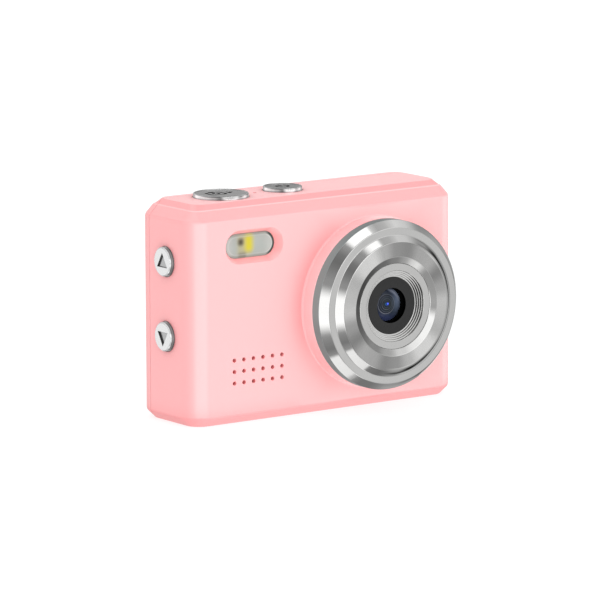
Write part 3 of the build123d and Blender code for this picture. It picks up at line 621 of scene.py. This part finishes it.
# ---------------------------------------------------------------- keys
# Side key, (degrees, value): painted light and shade on its flank, painted light and shade on its
# chamfered lip, and a painted highlight glowing on the lip.
KEY_FLANK = by_degrees([
    (-180, 0.26), (-95, 0.24), (-80, 0.12), (-60, 0.11), (-40, 0.24), (-20, 0.29), (0, 0.44),
    (20, 0.35), (40, 0.34), (60, 0.28), (80, 0.30), (100, 0.28), (180, 0.26)])
KEY_LIP = by_degrees([
    (-180, 0.72), (-110, 0.72), (-85, 0.70), (-60, 1.15), (-40, 1.30), (-20, 1.25), (0, 0.80),
    (20, 1.15), (40, 1.40), (60, 1.45), (80, 1.50), (100, 1.20), (120, 0.75), (180, 0.72)])
KEY_GLOW = by_degrees([
    (-180, 0.0), (-100, 0.0), (-70, 0.25), (-45, 0.30), (-15, 0.25), (0, 0.0), (15, 0.25),
    (45, 0.38), (80, 0.30), (110, 0.0), (180, 0.0)])
# Top key, every 15 degrees of its turn: painted reflection on its flank, then painted light and
# shade on the rounded edge above it.
RIM = [
    0.16, 0.24, 0.98, 0.80, 0.72, 0.44, 0.19, 1.18, 1.50, 0.62, 0.90, 0.20,
    0.25, 0.60, 0.90, 0.70, 0.60, 0.50, 0.80, 0.90, 0.70, 0.60, 0.90, 0.60]
RIM_GAIN = 1.32
EDGE = [
    1.4, 1.3, 1.9, 2.2, 1.9, 0.9, 0.70, 0.48, 0.42, 0.80, 2.6, 1.2,
    1.2, 1.0, 1.0, 1.0, 1.0, 1.0, 1.0, 1.0, 1.0, 1.0, 1.0, 1.1]


def key_metal(name, base, zones, *zone_arguments):
    """Plated metal with a hairline grain, with tones, painted light and shade among them, from
    zones(material, position, ...).
    """
    mat = Material(name, base, rough=0.22, metallic=1.0)
    position = mat.position()
    smear = position.noise(400.0, detail=3.0)
    grain = position.noise(9000.0)
    color = smear.mix(tuple(c * 0.96 for c in base), tuple(min(1, c * 1.04) for c in base))
    mat.set({
        "Base Color": zones(mat, position, *zone_arguments).tint(color),
        "Roughness": smear.lerp(0.14, 0.22) + grain * 0.05,
        "Normal": grain.bump(strength=0.10, distance=0.00001, normal=mat.rounded_normal(0.08)),
    })
    return mat


def side_zones(mat, position, key):
    low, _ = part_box(key)
    _, mid_y, mid_z = centre(key)
    depth = (position.xyz()[0] - low.x) * TO_MM          # behind the face, mm
    facing = mat.geometry("True Normal").dot((1, 0, 0)) * -1.0
    flat = facing.step(off=0.5, on=0.95)
    wall = 1.0 - facing.step(off=0.1, on=0.5)
    wall = wall * depth.step(off=0.20, on=0.28)
    chamfer = depth.step(off=0.01, on=0.05) * depth.step(off=0.30, on=0.24)
    _, y, z = position.xyz()
    turn = side_key_turn(mid_y - y, z - mid_z)
    tone = (flat * depth.step(off=0.06, on=0.30)).lerp(1.0, 0.52)          # engraved areas
    tone = tone.times(0.90, where=flat * depth.step(off=0.05, on=0.02))    # face
    # painted light and shade on the lip and the flank
    tone = tone.times(turn.stops(KEY_LIP), where=chamfer)
    tone = tone.times(turn.stops(KEY_FLANK), where=wall)
    # shade at the foot of the wall and, weaker, under the lip
    shade = calc("MAXIMUM", depth.step(off=0.80, on=1.02), depth.step(off=0.50, on=0.34) * 0.6)
    # painted highlight: the lip glows by turn
    glow = chamfer * depth.step(off=0.26, on=0.16) * turn.stops(KEY_GLOW)
    mat.set({"Emission Color": (1.0, 1.0, 1.0), "Emission Strength": glow})
    return tone.times(0.50, where=wall * shade)


def top_zones(mat, position, key, edge_mm, engraving_mm, dim, bright):
    _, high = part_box(key)
    x, y, z = position.xyz()
    off_x = x - centre(key)[0]
    depth = (high.z - z) * TO_MM
    radius = calc("SQRT", off_x ** 2.0 + y ** 2.0) * TO_MM
    # brushed face and the engraving in it
    inner = radius.step(off=engraving_mm + 0.1, on=engraving_mm - 0.1)
    hair = mat.vector(X=x * 0.08, Y=y).noise(9000.0, detail=3.0, rough=0.7)
    tone = depth.band(start=0.08, end=0.16, soft=0.02).lerp(1.0, hair.lerp(dim, bright))
    tone = tone.times(0.08, where=inner * depth.step(off=0.135, on=0.17))
    # flank: painted reflection, bright with soft dark bars
    wall = radius.step(off=edge_mm - 0.16, on=edge_mm - 0.06) * depth.step(off=0.06, on=0.16)
    turn = top_key_turn(off_x, y)
    tone = tone.times(turn.around(RIM) * RIM_GAIN, where=wall)
    # painted light and shade on the rounded edge above the flank
    rounded = radius.step(off=edge_mm - 0.28, on=edge_mm - 0.14)
    rounded = rounded * (1.0 - depth.step(off=0.06, on=0.16))
    tone = tone.times(turn.around(EDGE), where=rounded)
    # shade line under part of the edge, and one at the deck
    under_edge = depth.band(start=0.14, end=0.32, soft=0.06)
    under_edge = under_edge * turn.band(start=0.155, end=0.245, soft=0.02)
    line = calc("MAXIMUM", under_edge, depth.step(off=0.62, on=1.10))
    return tone.times(0.34, where=wall * line)


def rear_zones(mat, position, key):
    """Spun face with a painted two-fold sheen and dark engraving."""
    _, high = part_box(key)
    mid_x, _, mid_z = centre(key)
    x, _, z = position.xyz()
    off_x = x - mid_x
    off_z = z - mid_z
    turned = mat.vector(X=hypot(off_x, off_z)).noise(7000.0, detail=3.0, rough=0.7)
    # painted sheen, two-fold round the key
    sheen = calc("COSINE", (calc("ARCTAN2", off_z, off_x) - 0.6) * 2.0)
    spun = turned.lerp(0.90, 1.10) + sheen * 0.16
    depth = (high.y - position.xyz()[1]) * TO_MM
    flat = mat.geometry("True Normal").dot((0, 1, 0)).step(off=0.5, on=0.95)
    tone = flat.lerp(1.0, spun * 1.25)
    return tone.times(0.12, where=flat * depth.step(off=0.05, on=0.2))


def screw_zones(mat, position):
    """Painted shade in the recess below the rear face of the screws."""
    _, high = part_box("case_screws")
    depth = (high.y - position.xyz()[1]) * TO_MM
    return depth.step(off=0.10, on=0.42).lerp(1.0, 0.07)


# ---------------------------------------------------------------- plain materials
def dull(name, color, rough=0.6, grain=6000.0, bump=0.2, metallic=0.0, specular=0.5):
    """Slightly uneven surface with a fine grain."""
    spread = 0.12                                        # drift of the colour
    mat = Material(name, color, rough, metallic)
    position = mat.position()
    drift = position.noise(350.0, detail=4.0)
    fine = position.noise(grain)
    mat.set({
        "Base Color": drift.mix(tuple(c * (1 - spread) for c in color),
                                tuple(min(1.0, c * (1 + spread)) for c in color)),
        "Roughness": drift.lerp(rough - 0.06, rough + 0.06) + (fine - 0.5) * 0.1,
        "Normal": fine.bump(bump, distance=0.00002, normal=mat.rounded_normal(0.08, samples=4)),
        "Specular IOR Level": specular,
    })
    return mat


def clear(name, color, ior):
    """Tinted clear glass."""
    rough = 0.01
    mat = Material(name, color, rough)
    smear = mat.position().noise(700.0, detail=3.0)
    mat.set({
        "Transmission Weight": 1.0,
        "IOR": ior,
        "Roughness": smear.lerp(rough * 0.7, rough * 1.3 + 0.01),
    })
    return mat


# ---------------------------------------------------------------- windows and front lens
def flash_pane():
    """Frosted lamp window; the lamp shows through as a soft yellow glow."""
    mat = Material("flash_window", (0.90, 0.94, 0.92), rough=0.30)
    position = mat.position()
    off_x, off_z = front_offsets_mm(position, "flash_window")

    def blob(x, z, half_width, half_height, fade):
        outside_x = calc("MAXIMUM", abs(off_x - x) - half_width, 0.0)
        outside_z = calc("MAXIMUM", abs(off_z - z) - half_height, 0.0)
        return hypot(outside_x, outside_z).step(off=fade, on=0.0)

    color = position.noise(260.0, detail=3.0).mix((0.335, 0.375, 0.350), (0.415, 0.450, 0.425))
    ends = calc("MAXIMUM", off_x.step(off=-4.5, on=-7.2), off_x.step(off=3.6, on=6.4))
    color = color.toward((0.440, 0.480, 0.455), ends)
    # painted shade towards the top and bottom edges
    color = color.toward((0.250, 0.270, 0.240), abs(off_z).step(off=2.0, on=2.9) * 0.6)
    # soft halo, yellow lamp and two dark spots
    halo = blob(x=-1.7, z=0.15, half_width=1.2, half_height=1.6, fade=2.0)
    lamp = blob(x=-0.36, z=0.50, half_width=0.12, half_height=1.05, fade=2.25)
    left_spot = blob(x=-2.90, z=0.95, half_width=0.10, half_height=0.15, fade=1.45)
    low_spot = blob(x=-2.50, z=-2.50, half_width=0.60, half_height=0.10, fade=1.20)
    color = color.toward((0.400, 0.385, 0.230), halo * 0.85)
    color = color.toward((0.590, 0.530, 0.045), lamp)
    color = color.toward((0.085, 0.072, 0.050), left_spot * 0.95)
    color = color.toward((0.120, 0.105, 0.080), low_spot * 0.55)
    # rim of the pane, a rounded slot: painted shade on the right, a painted highlight line inside
    # it
    from_core = hypot(calc("MAXIMUM", abs(off_x) - 4.45, 0.0), off_z)
    right = off_x.step(off=4.6, on=6.2)
    painted_rim_highlight = from_core.band(start=2.20, end=2.50, soft=0.15) * right.lerp(0.25, 0.55)
    painted_rim_shade = from_core.step(off=2.38, on=2.72) * right.lerp(0.0, 0.95)
    color = color.toward((0.62, 0.68, 0.65), painted_rim_highlight)
    color = color.toward((0.030, 0.050, 0.044), painted_rim_shade)
    mat.set({
        "Base Color": color,
        "IOR": 1.25,
        "Transmission Weight": 0.06,
        "Roughness": position.noise(700.0, detail=3.0).lerp(0.26, 0.36),
        "Normal": position.noise(5000.0).bump(strength=0.06, distance=0.00001),
    })
    # shadow and diffuse rays pass straight through
    shadow, diffuse = mat.rays("Shadow", "Diffuse")
    passing = mat.source("ShaderNodeBsdfTransparent", inputs={"Color": (0.93, 0.95, 0.93)})
    mat.blend_shader(calc("MAXIMUM", shadow, diffuse), passing)
    return mat


GHOST_X, GHOST_Z = -0.55, 0.22       # apparent centre of the inner elements, mm from the axis
# painted reflections as ghost rings: radius, half width (mm), strength
PALE_RINGS = ((2.55, 0.10, 0.55), (2.05, 0.07, 0.22), (1.45, 0.08, 0.32), (1.0, 0.06, 0.2))
DARK_RINGS = ((2.28, 0.12, 0.6), (1.22, 0.10, 0.5))


def coated_lens():
    """Front element: blue-grey coating with painted reflections: a sheen, ghost rings of the
    elements behind and a blue glint.
    """
    mat = Material("coated_lens", (0.05, 0.06, 0.09), rough=0.04)
    position = mat.position()
    off_x, off_z = front_offsets_mm(position, "bezel_ring")

    def radius_from(x, z):
        return hypot(off_x - x, off_z - z)

    def ghost_disc(x, z, off, on):
        return radius_from(GHOST_X + x, GHOST_Z + z).step(off, on)

    def ring_band(radius, half_width):
        return ghost.band(radius - half_width, radius + half_width, soft=half_width * 0.8)

    radius = radius_from(0.0, 0.0)
    color = radius.step(off=4.4, on=0.6).mix((0.024, 0.031, 0.052), (0.011, 0.017, 0.021))
    # painted reflection: a blue-grey sheen over the right side
    sheen = off_x.step(off=0.4, on=4.2) * (off_z - off_x * 0.15).step(off=-4.6, on=1.2)
    color = color.toward((0.145, 0.182, 0.262), sheen * 0.85)
    # painted highlight: a crescent at the upper right edge
    crest = radius.band(start=3.35, end=4.05, soft=0.35)
    crest = crest * (off_x * 0.66 + off_z * 0.75).step(off=2.6, on=3.7)
    color = color.toward((0.290, 0.315, 0.400), crest * 0.7)
    # painted reflection: blue towards the lower part
    low_blue = (off_z + off_x * 0.25).step(off=-1.6, on=-4.2)
    color = color.toward((0.040, 0.052, 0.140), low_blue * 0.6)
    # painted reflections of the elements behind, as ghost rings; the light ones are strongest at
    # the lower left
    ghost = radius_from(GHOST_X, GHOST_Z)
    angle = calc("ARCTAN2", off_z - GHOST_Z, off_x - GHOST_X)
    low_left = 0.35 + calc("MAXIMUM", calc("COSINE", angle + 2.1), 0.0) * 0.65
    for ring, half_width, strength in PALE_RINGS:
        amount = ring_band(ring, half_width) * (low_left * strength)
        color = color.toward((0.230, 0.235, 0.270), amount)
    for ring, half_width, strength in DARK_RINGS:
        color = color.toward((0.008, 0.009, 0.014), ring_band(ring, half_width) * strength)
    # painted glint: teal and blue halos, bright blue spot, dark core
    teal = ghost_disc(x=-0.32, z=0.02, off=0.50, on=0.05)
    halo = ghost_disc(x=0.12, z=0.02, off=0.75, on=0.05)
    spot = ghost_disc(x=0.30, z=0.10, off=0.34, on=0.18)
    core = ghost_disc(x=-0.05, z=-0.02, off=0.16, on=0.08)
    color = color.toward((0.015, 0.100, 0.190), teal * 0.8)
    color = color.toward((0.035, 0.070, 0.480), halo * 0.45)
    color = color.toward((0.075, 0.140, 0.960), spot)
    color = color.toward((0.006, 0.008, 0.060), core)
    mat.set({
        "Base Color": color,
        "IOR": 1.22,
        "Coat Weight": 0.10,
        "Coat Roughness": 0.03,
        "Roughness": position.noise(900.0, detail=3.0).lerp(0.03, 0.10),
    })
    return mat


def display_pane():
    """Rear window: gloss black border round a charcoal view area, a faint painted diagonal sheen.
    """
    border_mm = 2.4
    fade = 0.06                                          # softness of the border's edge, mm
    mat = Material("display_pane", (0.01, 0.01, 0.012), rough=0.08)
    low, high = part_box("display_window")
    half_width = (high.x - low.x) * 500.0 - border_mm    # 500: half of it, in mm
    half_height = (high.z - low.z) * 500.0 - border_mm
    position = mat.position()
    off_x, off_z = front_offsets_mm(position, "display_window")
    inside = (abs(off_x).step(off=half_width + fade, on=half_width - fade)
              * abs(off_z).step(off=half_height + fade, on=half_height - fade))
    # painted sheen: a diagonal gradient across the view area and a brighter streak
    slant = off_x * -0.030 + off_z * 0.022
    slant = slant + (position.noise(45.0) - 0.5) * 0.12
    area = slant.step(off=-0.9, on=0.9).mix((0.012, 0.013, 0.016), (0.034, 0.037, 0.044))
    area = area.toward((0.042, 0.046, 0.054), slant.band(start=0.18, end=0.42, soft=0.03))
    mat.set({
        "Base Color": inside.mix((0.0035, 0.0035, 0.0040), area),
        "IOR": 1.40,
        "Roughness": position.noise(300.0, detail=4.0, rough=0.6).lerp(0.04, 0.12),
        "Normal": position.noise(3000.0).bump(strength=0.02, distance=0.00002,
                                              normal=mat.rounded_normal(0.08, samples=4)),
    })
    return mat


# ---------------------------------------------------------------- dressing the parts
def dress_parts():
    dress(pink_plastic(), "front_shell", "rear_shell")
    dress(bezel_metal(), "bezel_ring", "threaded_ring")
    for key, *sizes in TOP_KEYS:
        dress(key_metal("chrome_" + key, (0.72, 0.72, 0.72), top_zones, key, *sizes), key)
    for key in SIDE_KEYS:
        dress(key_metal("satin_" + key, (0.66, 0.665, 0.665), side_zones, key), key)
    for key in ("play_button", "menu_button", "ok_button", "mode_button"):
        dress(key_metal("satin_" + key, (0.62, 0.62, 0.62), rear_zones, key), key)
    black = dull("black_plastic", (0.040, 0.040, 0.041), rough=0.62, grain=7000.0, bump=0.25)
    dress(trim_black(), "trim_ring")
    dress(dull("barrel_black", (0.0008, 0.0008, 0.0009), rough=0.9, grain=7000.0, bump=0.15,
               specular=0.05), "lens_barrel")
    dress(black, "lens_holder", "top_switches", "side_switches", "rear_switches", "microphone")
    dress(dull("plunger_plastic", (0.10, 0.10, 0.10), rough=0.5),
          "shutter_plunger", "power_plunger", "up_plunger", "down_plunger",
          "play_plunger", "menu_plunger", "ok_plunger", "mode_plunger")
    dress(flash_pane(), "flash_window")
    dress(display_pane(), "display_window")
    dress(coated_lens(), "front_element")
    dress(clear("lens_glass", (0.62, 0.66, 0.95), ior=1.52), "middle_element", "rear_element")
    dress(clear("filter_glass", (0.5, 0.8, 0.85), ior=1.5), "infrared_filter")
    dress(dull("white_plastic", (0.80, 0.82, 0.80), rough=0.4), "flash_reflector", "flash_board")
    dress(dull("led_phosphor", (0.85, 0.78, 0.14), rough=0.35), "flash_led")
    dress(dull("lamp_lens", (0.10, 0.09, 0.07), rough=0.25), "focus_lamp")
    dress(dull("board_green", (0.02, 0.14, 0.06), rough=0.35),
          "main_board", "sensor_board", "top_key_board", "side_key_board")
    dress(dull("flex_amber", (0.45, 0.22, 0.04), rough=0.35), "sensor_flex", "display_flex")
    dress(dull("chip_black", (0.02, 0.02, 0.02), rough=0.5),
          "image_processor", "image_sensor", "usb_tongue", "memory_card")
    dress(dull("battery_wrap", (0.45, 0.47, 0.50), rough=0.3, metallic=0.8), "battery")
    dress(dull("foam_black", (0.03, 0.03, 0.03), rough=0.9, grain=3000.0, bump=0.6),
          "battery_tape", "display_gasket")
    dress(dull("display_panel", (0.01, 0.01, 0.012), rough=0.15), "display_module")
    dress(dull("mesh_cloth", (0.03, 0.03, 0.03), rough=0.9, grain=4000.0, bump=0.8),
          "speaker_mesh")
    dress(dull("speaker_can", (0.06, 0.06, 0.065), rough=0.4), "speaker")
    dress(key_metal("case_screw_metal", (0.55, 0.55, 0.55), screw_zones), "case_screws")
    dress(dull("steel", (0.55, 0.55, 0.55), rough=0.3, grain=5000.0, bump=0.1, metallic=1.0),
          "usb_socket", "card_socket", "strap_pin", "board_screws", "bezel_screws")
    dress(dull("brass", (0.72, 0.52, 0.22), rough=0.28, grain=5000.0, bump=0.1, metallic=1.0),
          "tripod_bush")


# ---------------------------------------------------------------- floor and camera
FLOOR_HALF = 6.0

CAMERA_AZIMUTH = math.radians(-35.54)
CAMERA_ELEVATION = math.radians(9.741)
CAMERA_ROLL = math.radians(-0.241)
CAMERA_PLACE = Vector((-759.65, -1063.99, 252.22)) * MM
FOCAL_LENGTH = 303.53                                    # mm on a 36 mm sensor


def build_floor():
    """White floor, unseen by reflections and bounced light."""
    mesh = bpy.data.meshes.new("floor")
    grid = bmesh.new()
    bmesh.ops.create_grid(grid, x_segments=8, y_segments=8, size=FLOOR_HALF)
    grid.to_mesh(mesh)
    grid.free()
    floor = bpy.data.objects.new("floor", mesh)
    scene.collection.objects.link(floor)
    white = Material("floor_white", (0.30, 0.30, 0.30), rough=0.8)
    white.set({"Emission Color": (1.0, 1.0, 1.0), "Emission Strength": 0.74,
               "Specular IOR Level": 0.0})
    mesh.materials.append(white.block)
    floor.visible_glossy = False
    floor.visible_diffuse = False


def build_camera():
    azimuth, elevation, roll = CAMERA_AZIMUTH, CAMERA_ELEVATION, CAMERA_ROLL
    level = Vector((math.cos(azimuth), math.sin(azimuth), 0))
    back = Vector((math.sin(azimuth) * math.cos(elevation),
                   -math.cos(azimuth) * math.cos(elevation), math.sin(elevation)))
    upright = back.cross(level)
    right = math.cos(roll) * level + math.sin(roll) * upright
    top = -math.sin(roll) * level + math.cos(roll) * upright
    lens = bpy.data.cameras.new("cam")
    lens.lens = FOCAL_LENGTH
    lens.sensor_width = 36.0
    lens.clip_start = 0.05
    lens.clip_end = 50
    camera = bpy.data.objects.new("camera", lens)
    rows = zip(right, top, back, CAMERA_PLACE)
    camera.matrix_world = Matrix((*rows, (0, 0, 0, 1)))
    scene.collection.objects.link(camera)
    scene.camera = camera


# ---------------------------------------------------------------- studio light
# matt light: even part, then extra by direction
DOME_EVEN, DOME_FRONT, DOME_ABOVE, DOME_RIGHT, DOME_BELOW = 0.985, 0.50, 0.27, 0.12, -0.32
ROOM_LEVEL = 0.40                                        # even grey seen by polished metal
BACKDROP_LEVEL = 1.2                                     # seen by the camera
# softboxes: azimuth (0 in front, + to the right), elevation, half width, its softness,
# half height, its softness (all degrees), level
PANELS = [
    (-52.0, -7.0, 31.0, 8.0, 20.0, 8.0, 1.15),           # left
    (-3.0, 74.0, 47.0, 5.0, 9.5, 2.5, 1.25),             # overhead
    (75.0, 55.0, 35.0, 10.0, 22.0, 8.0, 0.45),           # right, high
    (136.0, -12.0, 9.0, 8.0, 8.0, 8.0, 0.55),            # behind, right
    (-30.0, -71.5, 68.0, 8.0, 14.0, 2.0, 0.90),          # low reflector
    (8.0, 13.0, 26.0, 14.0, 14.0, 5.0, 1.00),            # front
    (35.5, -12.0, 12.0, 14.0, 12.0, 12.0, 0.42),         # front, right
    (22.0, -42.0, 8.0, 8.0, 8.0, 6.0, 1.00),             # front, low
    (72.0, -15.0, 12.0, 8.0, 22.0, 10.0, -0.28),         # black flag, right
    (-144.5, -9.7, 16.0, 8.0, 14.0, 8.0, 1.00),          # behind, left
    (180.0, 4.0, 14.0, 12.0, 24.0, 14.0, 0.42),          # behind
]


def build_world():
    world = bpy.data.worlds.new("studio")
    world.use_nodes = True
    graph = Graph(world.node_tree)
    output = graph.node("ShaderNodeOutputWorld")
    x, y, z = graph.source("ShaderNodeTexCoord", "Generated").xyz()
    azimuth = calc("ARCTAN2", x, y * -1.0) * (180 / math.pi)
    elevation = calc("ARCSINE", z) * (180 / math.pi)

    # what polished metal sees: softboxes and one black flag in an even grey room
    glossy_level = graph.source("ShaderNodeMath", inputs={0: ROOM_LEVEL, 1: 0.0},
                                operation="ADD")
    for middle, height, half_width, side_fade, half_height, top_fade, level in PANELS:
        aside = abs(calc("WRAP", azimuth - middle, 180.0, -180.0))
        across = aside.step(off=half_width + side_fade, on=half_width - side_fade)
        upward = abs(elevation - height).step(off=half_height + top_fade,
                                              on=half_height - top_fade)
        glossy_level = glossy_level + across * upward * level

    # what matt surfaces receive: a dome, fuller from the front, above and the right
    matt_level = DOME_EVEN + calc("MAXIMUM", y * -1.0, 0.0) * DOME_FRONT
    matt_level = matt_level + calc("MAXIMUM", z, 0.0) * DOME_ABOVE
    matt_level = matt_level + x * DOME_RIGHT
    matt_level = matt_level + calc("MINIMUM", z, 0.0) * DOME_BELOW

    glossy, seen = graph.rays("Glossy", "Camera")
    strength = seen.lerp(glossy.lerp(matt_level, glossy_level), BACKDROP_LEVEL)
    background = graph.source("ShaderNodeBackground", inputs={"Strength": strength,
                                                              "Color": (1, 1, 1)})
    feed(output, {0: background})
    scene.world = world


def set_render():
    scene.view_settings.view_transform = "Standard"
    scene.view_settings.look = "None"
    scene.view_settings.exposure = 0.0
    scene.view_settings.gamma = 1.0
    scene.cycles.use_denoising = True
    scene.cycles.max_bounces = 14
    scene.cycles.transmission_bounces = 12
    scene.cycles.caustics_reflective = False
    scene.cycles.caustics_refractive = False


dress_parts()
build_floor()
build_camera()
build_world()
set_render()
